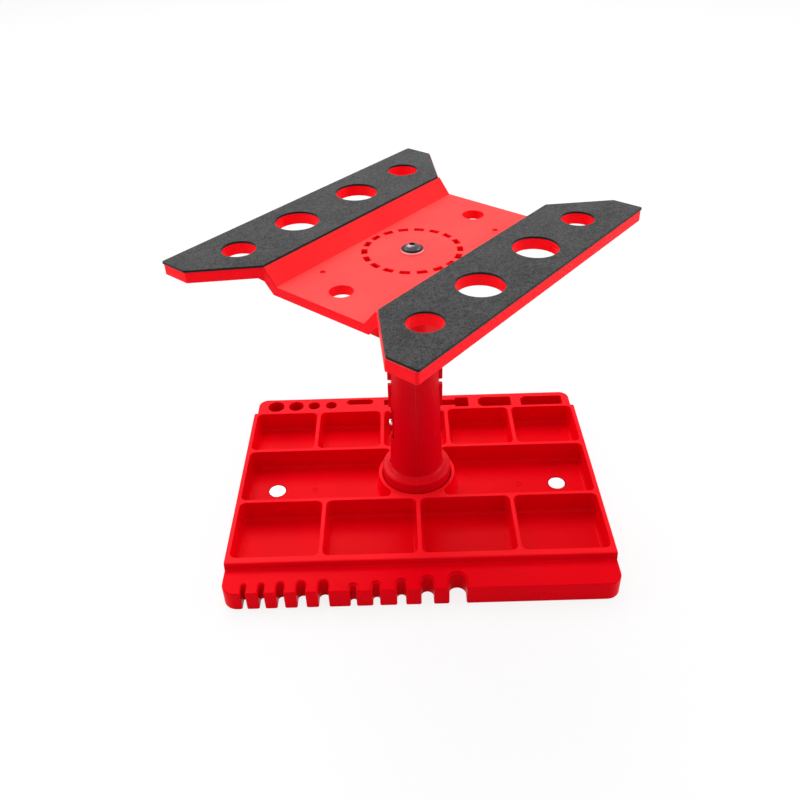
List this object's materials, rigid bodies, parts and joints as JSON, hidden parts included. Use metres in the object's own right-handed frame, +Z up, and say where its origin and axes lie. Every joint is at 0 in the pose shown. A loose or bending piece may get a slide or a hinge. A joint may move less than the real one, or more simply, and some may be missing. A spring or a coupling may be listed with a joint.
{
  "type": "work stand",
  "caption": "Red compartment tray with a round post, a height-adjustable notched mast and a turning padded platform that holds a radio-controlled car for repair.",
  "frame": {"origin": "on the floor under the axis of the post, at the centre of the bounding box's bottom", "axes": "+Z up along the post, +Y to the back strip of tool holes, +X to the right seen from the slotted front ledge"},
  "size_m": [0.2047, 0.2072, 0.1481],
  "materials": {
    "tray_plastic": "satin moulded red plastic",
    "post_plastic": "smooth moulded red plastic",
    "mast_plastic": "smooth moulded red plastic",
    "hub_plastic": "smooth moulded red plastic",
    "platform_plastic": "satin moulded red plastic",
    "pad_foam": "grained closed-cell foam sheet",
    "nickel_plate": "bright nickel plating",
    "black_steel": "black oxide",
    "zinc_steel": "bright zinc plating",
    "plain_steel": "plain rolled steel",
    "spring_steel": "spring steel",
    "insert_brass": "turned brass",
    "washer_plastic": "white acetal"
  },
  "bodies": {
    "base": {"base_tray": "tray_plastic", "magnet_left": "nickel_plate", "magnet_right": "nickel_plate", "foot_plate": "plain_steel", "foot_screws": "zinc_steel", "post_left": "post_plastic", "post_right": "post_plastic", "post_screws": "zinc_steel", "catch_spring": "mast_plastic", "catch_screw": "zinc_steel"},
    "mast": {"mast": "mast_plastic", "thread_insert": "insert_brass", "stop_washer": "plain_steel", "stop_screw": "zinc_steel", "friction_washer": "washer_plastic", "disc_spring": "spring_steel", "flat_washer": "black_steel", "centre_screw": "black_steel"},
    "platform": {"hub_skirt": "hub_plastic", "top_plate": "platform_plastic", "foam_left": "pad_foam", "foam_right": "pad_foam"}
  },
  "joints": [
    {"name": "lift", "type": "slide", "parent": "base", "child": "mast", "axis": [0, 0, 1], "range_m": [-0.0322, 0.0161], "deforming": ["catch_spring"]},
    {"name": "turn", "type": "hinge", "parent": "mast", "child": "platform", "pos_m": [0, 0, 0.136], "axis": [0, 0, 1], "continuous": true}
  ]
}
